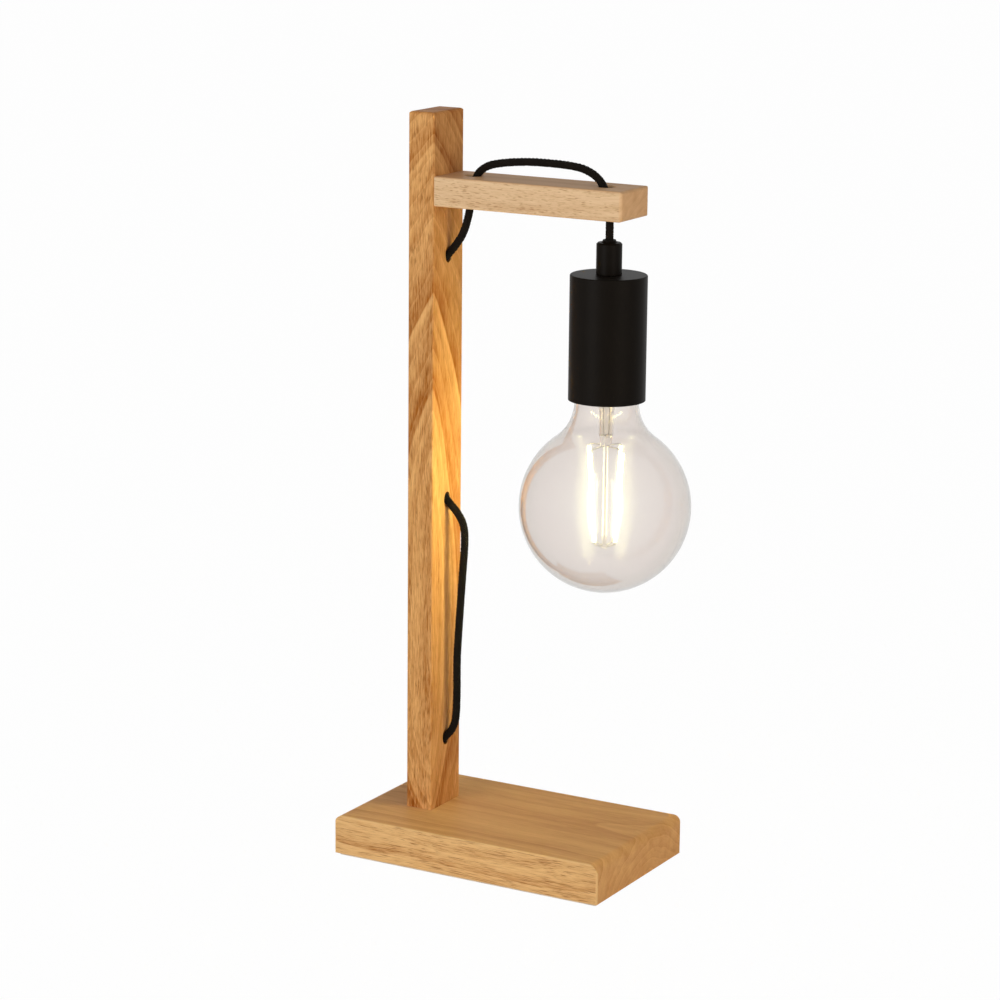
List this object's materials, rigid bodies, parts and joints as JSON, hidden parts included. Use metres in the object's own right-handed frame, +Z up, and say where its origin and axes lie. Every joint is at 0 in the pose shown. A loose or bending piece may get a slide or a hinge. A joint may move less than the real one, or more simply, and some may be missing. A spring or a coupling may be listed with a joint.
{
  "type": "bare bulb table lamp",
  "caption": "Table lamp with a plank base, a square-cut post and arm laced with braided flex, and a hanging cup lampholder with a clear globe bulb",
  "frame": {"origin": "centre of the base board's footprint, on the surface that the lamp stands on", "axes": "+Z up, +X along the arm from the post to the hanging lampholder, +Y to the board's back long edge"},
  "size_m": [0.1915, 0.102, 0.424],
  "materials": {
    "pale_wood": "clear satin lacquer over plain-sawn pale hardwood",
    "dowel_wood": "unfinished beech",
    "hardboard": "smooth brown hardboard",
    "felt": "dark pressed felt",
    "zinc_steel": "bright zinc plating",
    "black_rubber": "soft black rubber",
    "white_nylon": "natural nylon",
    "brass": "plain drawn brass",
    "black_braid": "tight black textile braid",
    "core_insulation": "coloured PVC insulation",
    "black_powder_coat": "fine matt black powder coat",
    "black_phenolic": "moulded black phenolic",
    "porcelain": "glazed white porcelain",
    "nickel_cap": "nickel-plated rolled sheet",
    "black_glass": "fused black insulating glass",
    "clear_glass": "clear blown glass",
    "phosphor": "glowing warm phosphor silicone",
    "bright_wire": "bright drawn wire",
    "circuit_board": "green solder mask"
  },
  "bodies": {
    "stand": {"base_board": "pale_wood", "post": "pale_wood", "arm": "pale_wood", "arm_dowels": "dowel_wood", "post_screws": "zinc_steel", "base_felt": "felt", "bottom_cover": "hardboard", "cover_screws": "zinc_steel", "lead_grommet": "black_rubber", "cord_clamp": "white_nylon", "terminal_block": "white_nylon", "terminal_sleeves": "brass", "terminal_screws": "zinc_steel", "fixing_screws": "zinc_steel", "flex": "black_braid", "flex_cores": "core_insulation"},
    "hanging_flex": {"flex_drop": "black_braid"},
    "lampholder": {"cord_grip": "black_powder_coat", "grip_screw": "zinc_steel", "flex_tail": "black_braid", "holder_cores": "core_insulation", "lock_nut": "zinc_steel", "holder_cup": "black_powder_coat", "holder_dome": "black_phenolic", "contact_carrier": "porcelain", "holder_skirt": "black_phenolic", "thread_shell": "brass", "centre_contact": "brass", "side_contact": "brass", "holder_screws": "zinc_steel"},
    "bulb_foot": {"foot_contact": "nickel_cap"},
    "bulb": {"bulb_cap": "nickel_cap", "cap_insulator": "black_glass", "globe": "clear_glass", "stem": "clear_glass", "filaments": "phosphor", "support_wires": "bright_wire", "driver_board": "circuit_board"}
  },
  "joints": [
    {"name": "swing_along", "type": "hinge", "parent": "stand", "child": "hanging_flex", "pos_m": [0.059, 0, 0.3725], "axis": [0, 1, 0], "range_deg": [-20, 12]},
    {"name": "swing_across", "type": "hinge", "parent": "hanging_flex", "child": "lampholder", "pos_m": [0.059, 0, 0.3605], "axis": [1, 0, 0], "range_deg": [-20, 20]},
    {"name": "bulb_travel", "type": "slide", "parent": "lampholder", "child": "bulb_foot", "axis": [0, 0, -1], "range_m": [0, 0.0182]},
    {"name": "bulb_turn", "type": "hinge", "parent": "bulb_foot", "child": "bulb", "pos_m": [0.059, 0, 0.3033], "axis": [0, 0, -1], "range_deg": [0, 1800]}
  ],
  "couplings": [
    {"joint": "bulb_travel", "follows": "bulb_turn", "m_per_rad": 0.00057757}
  ]
}
